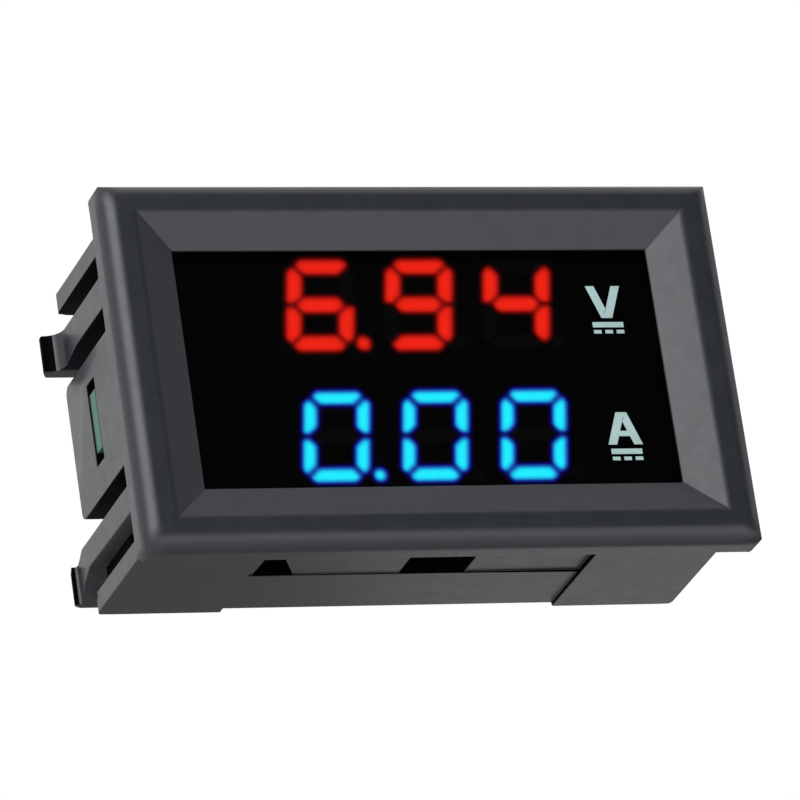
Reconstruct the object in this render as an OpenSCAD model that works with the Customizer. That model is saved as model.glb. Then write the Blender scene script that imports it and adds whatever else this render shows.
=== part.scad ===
// Dual digital panel meter: red volts row over blue amps row, nominal 48 x 29 mm bezel.
// Frame: origin in the middle of the bezel's rear face, which seats on the panel.
// The display looks along -Y, the body goes back through the panel along +Y, +Z is up.

/* [Bezel] */
// Width of the bezel
bezel_w = 48; // [47.5:0.1:52]
// Height of the bezel
bezel_h = 29; // [28.4:0.1:32]
// Thickness of the bezel, from the panel to the front rim
bezel_t = 2.7; // [2.4:0.1:3.5]
// Corner radius seen from the front
bezel_corner_r = 0.7; // [0.5:0.1:1.8]
// Radius along the front edges
bezel_edge_r = 1.4; // [1.2:0.1:1.8]
// Width at the top of the slope that runs in to the window
slope_w = 42.8; // [41.5:0.1:44]
// Height at the top of the slope
slope_h = 24.3; // [23.5:0.1:26]
// Width of the window opening
window_w = 37.1; // [36:0.1:38]
// Height of the window opening
window_h = 18.8; // [18.5:0.1:20]
// Depth of the slope
slope_d = 1.27; // [1:0.01:1.6]

/* [Body] */
// Width of the body that passes through the panel
body_w = 45.4; // [44.8:0.1:45.6]
// Height of the body
body_h = 25.6; // [25.4:0.1:26]
// Depth of the top and bottom walls behind the panel face
body_d = 14.5; // [14:0.1:14.7]
// Thickness of the top and bottom walls
wall_t = 1.5; // [1.2:0.1:1.6]
// Thickness of the end walls and the claw arms
end_t = 1.7; // [1.5:0.1:1.8]
// Depth of the end strips and the centre plates
strip_d = 14.8; // [14.5:0.1:15.5]
// Distance from the bezel at which the end slots start
slot_start = 1.0; // [0.8:0.1:2]

/* [Snap claws] */
// Depth of the upper claws' catch faces
upper_catch = 14.5; // [14.3:0.1:15]
// How far the upper claws stand out from the body
upper_out = 1.5; // [1.2:0.1:1.8]
// Depth of the lower claws' catch faces
lower_catch = 17.5; // [17.2:0.1:17.6]
// How far the lower claws stand out from the body
lower_out = 0.5; // [0.4:0.1:1]

/* [Display] */
// Height of a digit
digit_h = 7.2; // [6.9:0.1:7.4]
// Width of a digit before its slant
digit_w = 5.2; // [4.8:0.1:5.3]
// Width of a segment
segment_t = 1.1; // [0.9:0.05:1.3]
// Gap between neighbouring segments
segment_gap = 0.42; // [0.2:0.02:0.5]
// Slant of the digits
digit_slant = 8.5; // [0:0.1:10]
// Distance between neighbouring digits
digit_pitch = 7.68; // [7.6:0.01:7.8]
// Height of the volts row's middle
volts_z = 5.48; // [5.4:0.01:5.6]
// Height of the amps row's middle
amps_z = -5.0; // [-5.2:0.01:-4.8]

/* [Circuit board] */
// Distance from the panel face to the board's front
board_front = 8.12; // [8.1:0.01:8.2]
// Thickness of the board
board_t = 1.6; // [1.5:0.05:1.65]
// Radius of the trimmer shafts
trimmer_shaft_r = 0.6; // [0.5:0.05:0.7]
// Running clearance round the trimmer shafts
trimmer_play = 0.05; // [0.03:0.01:0.08]

/* [Hidden] */
$fn = 40;

// colours
abs_black = [0.27, 0.27, 0.29];
smoke = [0.05, 0.05, 0.06, 0.6];
shell_black = [0.07, 0.07, 0.08];
lit_red = [1.0, 0.13, 0.05];
lit_blue = [0.1, 0.75, 1.0];
unlit_grey = [0.16, 0.16, 0.18];
board_green = [0.12, 0.42, 0.27];
tin = [0.78, 0.79, 0.8];
chip_black = [0.1, 0.1, 0.11];

// walls and bands of the body
end_x = body_w / 2;
end_in = end_x - end_t;
top_z = body_h / 2;
in_z = top_z - wall_t;
band_round = 0.8;
plan_round = 0.9;
ridge_y = [8.0, 15.0];
ridge_z = [-11.8, -10.9];
ridge_x = end_x - 0.5;
stop_y = [10.1, 14.5];
stop_z = -9.3;
stop_w = 0.8;
centre_band = [-5.35, 5.38];
strip_bands = [[in_z, top_z], [-top_z, -11.8]];
upper_fillet = 1.3;
lower_fillet = 0.25;
claw_tip = 0.45;
claw_end_in = 0.8;
upper_end = 16.8;
lower_end = 18.3;
// side view [y, z] of the two claw arms; the lower one drops at its end
upper_arm = [[0, 7.15], [11, 7.3], [14.2, 6.7], [15.6, 6.7], [upper_end, 7.2],
    [upper_end, 9.2], [upper_end - 0.4, 9.6], [0, 9.6]];
lower_arm = [[0, -9.1], [14.6, -8.9], [16.6, -9.7], [17.5, -10.8], [lower_end, -10.8],
    [lower_end, -8.5], [17.6, -7.9], [16.1, -6.95], [0, -6.95]];

// relief of the top and bottom walls
relief_x = 13.1;
relief_d = 0.3;
channel_d = 0.4;
channel_end = 8.1;
hole_start = 1.0;
// outline [x, y] of the two holes; the narrow one has a slanted side
catch_holes = [
    [[-12.2, hole_start], [-12.5, channel_end], [-9.4, channel_end], [-11.0, hole_start + 3.8],
        [-11.0, hole_start]],
    [[-1.05, hole_start], [-1.05, channel_end], [4.05, channel_end], [4.05, hole_start]]];
catch_x = [-11.6, 3.4];
catch_w = 0.35;
catch_l = 1.5;

// window in each centre plate, and the board's tab in it
tab_window_y = [8.0, 9.85];
tab_window_z = [-2.95, 3.5];
tab_z = [-1.95, 2.68];
tab_x = end_x - 0.1;

// filter and display stack
lip_t = 0.2;
filter_front = -bezel_t + slope_d + lip_t;
filter_t = 0.8;
filter_w = window_w + 2.4;
filter_h = window_h + 2.3;
filter_play = 0.1;
face_y = filter_front + filter_t + 0.05;
shell_w = 38.2;
shell_h = 20.6;
shell_back = 5.4;
module_board_t = 0.9;
module_back = shell_back + module_board_t;
foot_r = 0.9;
foot_x = shell_w / 2 - 1.3;
foot_z = shell_h / 2 - 1.3;
well_d = 1.5;
volts_at = [-10.45, volts_z];
amps_at = [-10.68, amps_z];
digit_corner = 1.0;
dot_r = 0.5;
dot_gap = 0.87;
slant = tan(digit_slant);

// circuit board
board_back = board_front + board_t;
board_x = end_in - 0.25;
board_z = in_z - 0.25;
rib_x = 20.0;
rib_t = 1.0;
rib_h = 1.3;
pin_r = 0.3;
hole_play = 0.15;
solder_h = 0.8;
display_pin_z = 8.4;
display_pin_count = 7;
pitch = 2.54;
wide_pitch = 3.96;
wide_pin_r = 0.57;
shunt_r = 0.75;
shunt_span = 11;
shunt_z = -5.2;
shunt_rise = 3.4;
shunt_bend = 1.8;

// places on the rear of the board: [x, z]
supply_at = [-13.2, -7.2];
current_at = [13.9, -6.4];
micro_at = [-0.8, 2.6];
amp_at = [-13.4, 1.2];
reg_at = [13.4, 2.6];
diode_at = [5.2, -1.9];
volts_trim_at = [-14.4, 7.9];
amps_trim_at = [14.4, 7.9];
cap_at = [[-7.4, 5.2], [-7.4, 3.2], [5.4, 4.6], [5.4, 2.6], [8.6, 4.6], [-5.2, -1.9]];
res_at = [[8.6, 1.9], [8.6, 0.3], [-7.6, 0.6], [-9.0, -1.9], [-0.8, -1.9], [10.4, 10.0],
    [-10.4, 10.0], [19.0, 0.8], [-19.2, 4.6], [19.0, 4.6]];
chip_l = 2.0;
chip_w = 1.25;
chip_end = 0.35;
cap_t = 0.9;
res_t = 0.5;

// trimmers
trim_base = [4.6, 4.6];
trim_base_t = 1.9;
trim_shaft_d = 1.3;
trim_gap = 0.1;
rotor_r = 1.75;
rotor_t = 0.7;
rotor_slot = 0.45;

// extrusions along the three axes: a 2D shape (x, z), (x, y) or (y, z) swept along the third
module along_y(y0, y1) {
    translate([0, y1, 0]) rotate([90, 0, 0]) linear_extrude(y1 - y0) children();
}
module along_z(z0, z1) {
    translate([0, 0, z0]) linear_extrude(z1 - z0) children();
}
module along_x(x0, x1) {
    translate([x0, 0, 0]) rotate([90, 0, 90]) linear_extrude(x1 - x0) children();
}
module both_ends() {
    children();
    mirror([1, 0, 0]) children();
}
module box2(x, y) {
    translate([x[0], y[0]]) square([x[1] - x[0], y[1] - y[0]]);
}
module rounded(w, h, r) {
    square([w - 2 * r, h], center = true);
    square([w, h - 2 * r], center = true);
    for (x = [-1, 1], y = [-1, 1])
        translate([x * (w / 2 - r), y * (h / 2 - r)]) circle(r);
}

// section of the slope: wide at the front, the window's size at the lip
module slope_section(outer, inner) {
    out = 0.5;
    run = (outer - inner) / 2 / slope_d;
    polygon([[-outer / 2 - run * out, -bezel_t - out], [outer / 2 + run * out, -bezel_t - out],
        [inner / 2, slope_d - bezel_t], [-inner / 2, slope_d - bezel_t]]);
}

// section of a plate from -t to 0 with rounded front corners
module front_rounded(w, t, r) {
    box2([-w / 2, w / 2], [r - t, 0]);
    box2([r - w / 2, w / 2 - r], [-t, 0]);
    for (s = [-1, 1]) translate([s * (w / 2 - r), r - t]) circle(r);
}

module bezel_blank() {
    intersection() {
        along_y(-bezel_t, 0) rounded(bezel_w, bezel_h, bezel_corner_r);
        along_z(-bezel_h / 2, bezel_h / 2) front_rounded(bezel_w, bezel_t, bezel_edge_r);
        rotate([0, 90, 0]) along_z(-bezel_w / 2, bezel_w / 2)
            front_rounded(bezel_h, bezel_t, bezel_edge_r);
    }
}

module window_cut() {
    intersection() {
        along_z(-bezel_h / 2, bezel_h / 2) slope_section(slope_w, window_w);
        rotate([0, 90, 0]) along_z(-bezel_w / 2, bezel_w / 2) slope_section(slope_h, window_h);
    }
    along_y(-bezel_t, 0.01) square([window_w, window_h], center = true);
    along_y(filter_front, 0.01)
        square([filter_w + 2 * filter_play, filter_h + 2 * filter_play], center = true);
}

// one strip of an end wall, rounded at its rear corners
module band(z, d) {
    r = min(band_round, 0.4 * (z[1] - z[0]));
    box2([0, d - r], z);
    box2([0, d], [z[0] + r, z[1] - r]);
    for (s = [z[0] + r, z[1] - r]) translate([d - r, s]) circle(r);
}

// plan [x, y] of the body to a depth, rounded at its two rear corners
module plan(d) {
    box2([-end_x, end_x], [0, d - plan_round]);
    box2([plan_round - end_x, end_x - plan_round], [0, d]);
    for (s = [-1, 1]) translate([s * (end_x - plan_round), d - plan_round]) circle(plan_round);
}

module end_wall() {
    along_x(end_in, end_x) difference() {
        union() {
            box2([0, slot_start], [-top_z, top_z]);
            band(centre_band, strip_d);
        }
        box2(tab_window_y, tab_window_z);
    }
    for (b = strip_bands) intersection() {
        along_x(end_in, end_x) band(b, strip_d);
        along_z(-top_z, top_z) plan(strip_d);
    }
    // a set-back ridge on the lower strip, and a stop behind the board's corner
    along_x(end_in, ridge_x) box2(ridge_y, ridge_z);
    along_x(end_in - stop_w, end_in) box2(stop_y, [ridge_z[0], stop_z]);
}

// claw seen from above: the arm, a hollow fillet, the catch face and a lead-in ramp
module claw_profile(catch_y, out, f, end_y) {
    polygon(concat(
        [[end_in, 0], [end_x, 0]],
        [for (a = [180:-10:90])
            [end_x + f + f * cos(a), catch_y - f + f * sin(a)]],
        [[end_x + out, catch_y], [end_x + out, catch_y + claw_tip],
            [end_x + out - min(out, claw_end_in), end_y],
            [end_in, end_y]]));
}
module claw(side_view, catch_y, out, f, end_y) {
    intersection() {
        along_z(-top_z, top_z) claw_profile(catch_y, out, f, end_y);
        along_x(end_in - 1, end_x + out + 1) polygon(side_view);
    }
}

// top or bottom wall: a shallow relief, a deeper channel behind the bezel, two holes
module wall(side) {
    z_out = side * top_z;
    difference() {
        along_z(side > 0 ? in_z : -top_z, side > 0 ? top_z : -in_z) plan(body_d);
        translate([-relief_x, 0, z_out - relief_d]) cube([2 * relief_x, body_d + 1, 2 * relief_d]);
        translate([-relief_x, 0, z_out - channel_d])
            cube([2 * relief_x, channel_end, 2 * channel_d]);
        along_z(z_out - 3, z_out + 3) for (h = catch_holes) polygon(h);
    }
    // catches that show in the holes, and ribs that stop the board
    for (x = catch_x)
        translate([x, channel_end - catch_l, side > 0 ? in_z : -in_z - catch_w])
            cube([catch_w, catch_l + 0.1, catch_w]);
    for (x = [-rib_x, rib_x])
        translate([x - rib_t / 2, 0, side > 0 ? in_z - rib_h : -in_z - 0.01])
            cube([rib_t, board_front, rib_h + 0.01]);
}

module housing() {
    color(abs_black) {
        difference() {
            bezel_blank();
            window_cut();
        }
        for (side = [-1, 1]) wall(side);
        both_ends() {
            end_wall();
            claw(upper_arm, upper_catch, upper_out, upper_fillet, upper_end);
            claw(lower_arm, lower_catch, lower_out, lower_fillet, lower_end);
        }
    }
}

module window_filter() {
    color(smoke) along_y(filter_front, filter_front + filter_t)
        square([filter_w, filter_h], center = true);
}

// outline of segment s (a to g) of a digit whose lower left corner is at the origin
module segment(s) {
    w = digit_w;
    h = digit_h;
    t = segment_t;
    g = segment_gap / 2;
    m = h / 2;
    if (s == "a") polygon([[g, h], [w - g, h], [w - t - g, h - t], [t + g, h - t]]);
    if (s == "d") polygon([[g, 0], [w - g, 0], [w - t - g, t], [t + g, t]]);
    if (s == "g") polygon([[t / 2 + g, m], [t + g, m + t / 2], [w - t - g, m + t / 2],
        [w - t / 2 - g, m], [w - t - g, m - t / 2], [t + g, m - t / 2]]);
    if (s == "b" || s == "f") translate([s == "b" ? w : 0, 0]) mirror([s == "b" ? 1 : 0, 0])
        polygon([[0, h - g], [t, h - t - g], [t, m + t / 2 + g], [t / 2, m + g], [0, m + g]]);
    if (s == "c" || s == "e") translate([s == "c" ? w : 0, 0]) mirror([s == "c" ? 1 : 0, 0])
        polygon([[0, g], [t, t + g], [t, m - t / 2 - g], [t / 2, m - g], [0, m - g]]);
}

module cut_corners(w, h, c) {
    polygon([[c, 0], [w - c, 0], [w, c], [w, h - c], [w - c, h], [c, h], [0, h - c], [0, c]]);
}

// the chosen segments of one slanted digit, whose corners are cut off
module digit(segments) {
    multmatrix([[1, slant, 0, 0], [0, 1, 0, 0], [0, 0, 1, 0]])
        intersection() {
            for (s = segments) segment(s);
            cut_corners(digit_w, digit_h, digit_corner);
        }
}
function all_segments() = ["a", "b", "c", "d", "e", "f", "g"];

// a row of three digits that starts at [x, z]: which segments of each, and which dots
module row(at, segments, dots) {
    for (i = [0:2]) translate([at[0] + i * digit_pitch, at[1] - digit_h / 2]) {
        digit(segments[i]);
        if (dots[i]) translate([digit_w + dot_gap, dot_r]) circle(dot_r);
    }
}
module row_fill(at, segments, dots) {
    along_y(face_y, face_y + well_d) row(at, segments, dots);
}
volts_lit = [["a", "c", "d", "e", "f", "g"], ["a", "b", "c", "d", "f", "g"], ["b", "c", "f", "g"]];
volts_unlit = [["b"], ["e"], ["a", "d", "e"]];
amps_lit = [for (i = [0:2]) ["a", "b", "c", "d", "e", "f"]];
amps_unlit = [for (i = [0:2]) ["g"]];
dots_lit = [true, false, false];
dots_unlit = [false, true, true];
all_three = [for (i = [0:2]) all_segments()];

module volts_segments_lit() { color(lit_red) row_fill(volts_at, volts_lit, dots_lit); }
module volts_segments_unlit() { color(unlit_grey) row_fill(volts_at, volts_unlit, dots_unlit); }
module amps_segments_lit() { color(lit_blue) row_fill(amps_at, amps_lit, dots_lit); }
module amps_segments_unlit() { color(unlit_grey) row_fill(amps_at, amps_unlit, dots_unlit); }

// shell of the display module: a well for each segment, feet that stand on the board
module display_shell() {
    color(shell_black) {
        difference() {
            along_y(face_y, shell_back) square([shell_w, shell_h], center = true);
            along_y(face_y - 1, face_y + well_d) for (at = [volts_at, amps_at])
                row(at, all_three, [true, true, true]);
        }
        for (x = [-1, 1], z = [-1, 1]) translate([x * foot_x, 0, z * foot_z])
            along_y(shell_back, board_front) circle(foot_r);
    }
}

module display_board() {
    color(board_green) along_y(shell_back, module_back) difference() {
        square([shell_w - 0.8, shell_h - 0.8], center = true);
        for (x = [-1, 1], z = [-1, 1])
            translate([x * foot_x, z * foot_z]) square(2 * foot_r + 0.9, center = true);
        display_pin_places() circle(pin_r);
    }
}

// places of the display's two rows of pins, and of the rear parts' pins
module display_pin_places() {
    for (i = [0:display_pin_count - 1], z = [-1, 1])
        translate([(i - (display_pin_count - 1) / 2) * pitch, z * display_pin_z]) children();
}
module supply_places() {
    for (i = [-1:1]) translate([supply_at[0] + i * pitch, supply_at[1]]) children();
}
module current_places() {
    for (s = [-0.5, 0.5]) translate([current_at[0] + s * wide_pitch, current_at[1]]) children();
}
module shunt_places() {
    for (s = [-0.5, 0.5]) translate([s * shunt_span, shunt_z]) children();
}

module display_pins() {
    color(tin) along_y(shell_back, board_back + 0.9) display_pin_places() circle(pin_r);
}

module circuit_board() {
    color(board_green) along_y(board_front, board_back) difference() {
        union() {
            square([2 * board_x, 2 * board_z], center = true);
            box2([-tab_x, tab_x], tab_z);
        }
        display_pin_places() circle(pin_r + hole_play);
        supply_places() circle(pin_r + hole_play);
        current_places() circle(wide_pin_r + hole_play);
        shunt_places() circle(shunt_r + hole_play);
    }
}

// a fillet of solder on one face of the board, round a pin of radius r
module solder_cone(r) {
    rotate_extrude() polygon([[r, 0], [2.1 * r + 0.2, 0], [1.3 * r + 0.1, 0.35 * solder_h],
        [r, solder_h]]);
}
module on_rear() { translate([0, board_back, 0]) rotate([-90, 0, 0]) children(); }
module on_front() { translate([0, board_front, 0]) rotate([90, 0, 0]) children(); }
module flip_z() { mirror([0, 1, 0]) children(); }

module solder_joints() {
    color(tin) {
        on_rear() flip_z() display_pin_places() solder_cone(pin_r);
        on_front() supply_places() solder_cone(pin_r);
        on_front() current_places() solder_cone(wide_pin_r);
        on_front() shunt_places() solder_cone(shunt_r);
    }
}

// a moulded chip body with sloped sides, standing off the board
module chip_body(at, size, t, stand) {
    translate([at[0], board_back + stand, at[1]]) intersection() {
        along_z(-size[1] / 2, size[1] / 2) chip_side(size[0], t);
        rotate([0, 90, 0]) along_z(-size[0] / 2, size[0] / 2) chip_side(size[1], t);
    }
}
module chip_side(w, t) {
    polygon([[-w / 2 + 0.1, 0], [w / 2 - 0.1, 0], [w / 2, t / 2], [w / 2 - 0.12, t],
        [-w / 2 + 0.12, t], [-w / 2, t / 2]]);
}

// gull-wing leads in two rows of n, out of the long sides of a chip
module gull_leads(at, n, lead_pitch, lead_w, body_half, reach, lead_z) {
    lead_t = 0.18;
    for (i = [0:n - 1], s = [0, 1])
        translate([at[0] + (i - (n - 1) / 2) * lead_pitch - lead_w / 2, board_back, at[1]])
            mirror([0, 0, s]) along_x(0, lead_w) polygon([
                [lead_z, body_half], [lead_z + lead_t, body_half],
                [lead_z + lead_t, body_half + 0.35], [lead_t, body_half + 0.65],
                [lead_t, reach], [0, reach], [0, body_half + 0.5], [lead_z, body_half + 0.22]]);
}

module microcontroller() { color(chip_black) chip_body(micro_at, [6.5, 4.4], 0.95, 0.1); }
module microcontroller_leads() { color(tin) gull_leads(micro_at, 10, 0.65, 0.24, 2.2, 3.2, 0.485); }
module amplifier() { color(chip_black) chip_body(amp_at, [4.9, 3.9], 1.45, 0.15); }
module amplifier_leads() { color(tin) gull_leads(amp_at, 4, 1.27, 0.41, 1.95, 3.0, 0.785); }
module regulator() { color(chip_black) chip_body(reg_at, [4.5, 2.5], 1.5, 0.35); }
module regulator_leads() {
    color(tin) translate([reg_at[0], 0, reg_at[1]]) along_y(board_back, board_back + 0.35) {
        for (i = [-1:1]) box2([i * 1.5 - 0.22, i * 1.5 + 0.22], [-2.2, -0.9]);
        box2([-0.85, 0.85], [-0.5, 2.0]);
    }
}
module input_diode() { color(chip_black) chip_body(diode_at, [4.3, 2.6], 2.0, 0.2); }
module diode_terminals() {
    color(tin) for (s = [0, 1]) translate([diode_at[0], board_back, diode_at[1]])
        mirror([s, 0, 0]) along_z(-0.7, 0.7) polygon([[1.2, 0], [2.5, 0], [2.5, 1.3],
            [2.15, 1.3], [2.15, 0.2], [1.2, 0.2]]);
}

// shunt: a thick wire loop that carries the measured current
module current_shunt() {
    side = shunt_span / 2;
    top_y = board_back + shunt_rise;
    color([0.72, 0.45, 0.3]) {
        for (s = [-side, side]) translate([s, 0, shunt_z])
            along_y(board_front - 0.9, top_y - shunt_bend) circle(shunt_r);
        translate([0, top_y, shunt_z]) along_x(shunt_bend - side, side - shunt_bend)
            circle(shunt_r);
        for (s = [0, 1]) mirror([s, 0, 0])
            translate([side - shunt_bend, top_y - shunt_bend, shunt_z])
                rotate_extrude(angle = 90) translate([shunt_bend, 0]) circle(shunt_r);
    }
}

// supply header: a low shrouded box with two keyway slots in its upper wall
supply_w = 9.8;
supply_h = 5.8;
supply_t = 6.6;
header_floor = 1.6;
module supply_header() {
    color([0.9, 0.88, 0.8]) translate([supply_at[0], board_back, supply_at[1]]) difference() {
        along_y(0, supply_t) square([supply_w, supply_h], center = true);
        along_y(header_floor, supply_t + 1) square([supply_w - 1.6, supply_h - 1.6], center = true);
        for (s = [-1, 1]) along_y(header_floor + 1.2, supply_t + 1)
            translate([s * 2.9, supply_h / 2]) square([1.2, 2.4], center = true);
        along_y(-1, header_floor + 1) for (i = [-1:1]) translate([i * pitch, 0]) circle(pin_r);
    }
}
module supply_header_pins() {
    color(tin) along_y(board_front - 0.9, board_back + supply_t - 0.8)
        supply_places() circle(pin_r);
}

// current header: an open base with a friction wall behind two thick pins
current_w = 7.9;
current_h = 7.6;
current_t = 6.6;
current_base = 2.4;
module current_header() {
    color([0.92, 0.9, 0.84]) translate([current_at[0], board_back, current_at[1]]) {
        difference() {
            along_y(0, current_base) square([current_w, current_h], center = true);
            along_y(-1, current_base + 1) for (s = [-0.5, 0.5])
                translate([s * wide_pitch, 0]) circle(wide_pin_r);
        }
        along_y(current_base - 0.01, current_t)
            box2([-current_w / 2 + 0.6, current_w / 2 - 0.6], [current_h / 2 - 1.4, current_h / 2]);
        along_z(current_h / 2 - 2.0, current_h / 2) for (x = [-2.2, 2.2]) translate([x, 0])
            box2([-0.5, 0.5], [current_base - 0.01, current_t - 1.2]);
    }
}
module current_header_pins() {
    color(tin) along_y(board_front - 0.9, board_back + current_t + 0.2)
        current_places() circle(wide_pin_r);
}

// trimmer: base with a blind bore, a slotted rotor that turns in it, three terminals
module trimmer_base(at) {
    color([0.93, 0.92, 0.88]) translate([at[0], board_back + 0.2, at[1]]) difference() {
        along_y(0, trim_base_t) intersection() {
            square(trim_base, center = true);
            rotate(45) square(5.8, center = true);
        }
        along_y(trim_base_t - trim_shaft_d - trim_gap, trim_base_t + 1)
            circle(trimmer_shaft_r + trimmer_play);
    }
}
module trimmer_rotor(at) {
    top = trim_base_t + trim_gap + rotor_t;
    color([0.8, 0.68, 0.35]) translate([at[0], board_back + 0.2, at[1]]) difference() {
        union() {
            along_y(trim_base_t + trim_gap, top) circle(rotor_r);
            along_y(trim_base_t - trim_shaft_d, top - 0.1) circle(trimmer_shaft_r);
        }
        along_y(top - 0.4, top + 1) for (a = [0, 90])
            rotate(a) square([2 * rotor_r * 0.75, rotor_slot], center = true);
    }
}
module trimmer_terminals(at) {
    color(tin) translate([at[0], board_back, at[1]]) {
        for (x = [-1.15, 1.15]) along_y(0, 0.2) box2([x - 0.5, x + 0.5], [-2.8, -1.3]);
        along_y(0, 0.2) box2([-0.8, 0.8], [1.3, 2.8]);
    }
}
module volts_trimmer_base() { trimmer_base(volts_trim_at); }
module volts_trimmer_rotor() { trimmer_rotor(volts_trim_at); }
module volts_trimmer_terminals() { trimmer_terminals(volts_trim_at); }
module amps_trimmer_base() { trimmer_base(amps_trim_at); }
module amps_trimmer_rotor() { trimmer_rotor(amps_trim_at); }
module amps_trimmer_terminals() { trimmer_terminals(amps_trim_at); }

// chips: a body between two wrapped ends
module chip_mid(t) {
    along_y(0, t) square([chip_l - 2 * chip_end, chip_w], center = true);
}
module chip_caps(t) {
    for (s = [0, 1]) mirror([s, 0, 0])
        along_y(0, t) box2([chip_l / 2 - chip_end, chip_l / 2], [-chip_w / 2, chip_w / 2]);
}
module placed(list) { for (p = list) translate([p[0], board_back, p[1]]) children(); }
module chip_capacitors() { color([0.72, 0.6, 0.42]) placed(cap_at) chip_mid(cap_t); }
module capacitor_ends() { color(tin) placed(cap_at) chip_caps(cap_t); }
module chip_resistors() { color(chip_black) placed(res_at) chip_mid(res_t); }
module resistor_ends() { color(tin) placed(res_at) chip_caps(res_t); }

housing();
window_filter();
display_shell();
display_board();
display_pins();
volts_segments_lit();
volts_segments_unlit();
amps_segments_lit();
amps_segments_unlit();
circuit_board();
solder_joints();
microcontroller();
microcontroller_leads();
amplifier();
amplifier_leads();
regulator();
regulator_leads();
input_diode();
diode_terminals();
current_shunt();
supply_header();
supply_header_pins();
current_header();
current_header_pins();
volts_trimmer_base();
volts_trimmer_rotor();
volts_trimmer_terminals();
amps_trimmer_base();
amps_trimmer_rotor();
amps_trimmer_terminals();
chip_capacitors();
capacitor_ends();
chip_resistors();
resistor_ends();
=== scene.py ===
"""Dual-row digital panel meter: the finish of its housing, display, circuit board and parts.

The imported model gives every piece's place. This script gives each one its surface, adds the
thin forms that belong to the looks (glow, printed marks, tracks) and lights the meter.
"""

import math

import bmesh
import bpy
import numpy as np
from bpy.props import FloatProperty, FloatVectorProperty, PointerProperty
from bpy.types import Operator, Panel, PropertyGroup
from mathutils import Matrix, Vector


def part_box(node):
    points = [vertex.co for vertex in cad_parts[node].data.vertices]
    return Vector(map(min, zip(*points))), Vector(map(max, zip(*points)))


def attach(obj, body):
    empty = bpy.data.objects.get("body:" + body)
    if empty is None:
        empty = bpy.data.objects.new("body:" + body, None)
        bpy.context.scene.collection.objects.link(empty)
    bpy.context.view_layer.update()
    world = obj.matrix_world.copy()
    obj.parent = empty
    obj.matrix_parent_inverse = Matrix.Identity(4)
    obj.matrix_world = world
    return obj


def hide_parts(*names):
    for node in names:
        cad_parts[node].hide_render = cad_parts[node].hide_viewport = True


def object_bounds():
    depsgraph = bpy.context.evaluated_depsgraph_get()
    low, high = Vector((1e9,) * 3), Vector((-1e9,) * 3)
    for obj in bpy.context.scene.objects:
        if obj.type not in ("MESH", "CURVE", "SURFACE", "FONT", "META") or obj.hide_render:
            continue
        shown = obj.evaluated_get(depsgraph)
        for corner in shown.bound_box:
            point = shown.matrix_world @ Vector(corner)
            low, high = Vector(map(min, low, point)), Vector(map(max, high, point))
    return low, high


bl_info = {
    "name": "Dual panel meter",
    "version": (1, 0, 0),
    "blender": (4, 5, 0),
    "location": "View3D > Sidebar > Meter",
    "description": "Finish, glow and light of a dual-row digital panel meter",
    "category": "Object",
}

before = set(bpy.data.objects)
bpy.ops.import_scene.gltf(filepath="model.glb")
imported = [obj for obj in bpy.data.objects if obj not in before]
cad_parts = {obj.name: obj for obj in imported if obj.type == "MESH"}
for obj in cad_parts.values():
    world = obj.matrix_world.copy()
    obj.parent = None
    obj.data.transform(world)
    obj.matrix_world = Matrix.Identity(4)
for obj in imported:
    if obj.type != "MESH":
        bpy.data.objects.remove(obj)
CAD_BOX = [list(corner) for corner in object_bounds()]
MM = 0.001
METER = "meter"


# ---------------------------------------------------------------- settings


def colour(name, text, value):
    """A colour property with red, green and blue from 0 to 1."""
    return FloatVectorProperty(
        name=name, description=text, subtype="COLOR", size=3, min=0, max=1, default=value
    )


def length(name, text, value):
    """A length property, in metres."""
    return FloatProperty(name=name, description=text, unit="LENGTH", default=value, precision=5)


def place(name, text, value):
    """A place or step in space, in metres."""
    return FloatVectorProperty(
        name=name, description=text, subtype="TRANSLATION", unit="LENGTH", size=3, default=value
    )


def three_numbers(name, text, value):
    """Three plain numbers."""
    return FloatVectorProperty(name=name, description=text, size=3, min=0, default=value)


def angle(name, text, value):
    """An angle property, given here in degrees."""
    return FloatProperty(name=name, description=text, unit="ROTATION", default=math.radians(value))


def factor(name, text, value, high=1.0):
    """A plain number from 0 to its highest value."""
    return FloatProperty(name=name, description=text, min=0, max=high, default=value)


class HousingSettings(PropertyGroup):
    tint: colour("Colour", "Colour of the moulded housing", (0.018, 0.021, 0.027))
    # painted light and shade: Shade is a near-black painted shade for the faces inside the housing and
    # its recesses; Underside and Underside rear are painted light that makes the lower claws' undersides
    # and the ledge lighter, fading towards the claws' tips
    shade: colour("Shade", "Colour of the faces inside the housing", (0.001, 0.001, 0.0013))
    under: colour("Underside", "Colour under the lower claws, in front", (0.11, 0.112, 0.116))
    painted_light_under_rear: colour("Underside rear", "Colour under the lower claws' tips", (0.045, 0.046, 0.05))
    roughness: factor("Roughness", "Roughness of the moulded surface", 0.36)
    grain: length("Grain", "Depth of the moulded grain", 0.004 * MM)
    edge: length("Edge", "Rounding of the bezel's front edge", 0.24 * MM)
    corner: length("Corner", "Reach of the soft shading at the bezel's corners", 1.9 * MM)
    fine_edge: factor("Fine edge", "Rounding of the other edges, as a share of the front's", 0.4)


class DisplaySettings(PropertyGroup):
    red: colour("Red", "Light of the volts row", (0.86, 0.016, 0.006))
    red_fall: three_numbers("Red fall", "How fast each part of the red light fades", (1.2, 1.35, 1.1))
    blue: colour("Blue", "Light of the amps row", (0.014, 0.86, 1.0))
    blue_fall: three_numbers("Blue fall", "How fast each part of the blue light fades", (1.0, 3.0, 1.25))
    smoke: factor("Smoke", "How much light the filter stops", 0.55)
    spread: length("Spread", "Reach of the glow round a segment", 0.175 * MM)
    mark: colour("Marks", "Colour of the printed unit marks", (0.47, 0.66, 0.65))
    mark_h: length("Mark height", "Height of a printed letter", 2.58 * MM)
    stroke: length("Stroke", "Width of a letter's stroke", 0.64 * MM)


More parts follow.
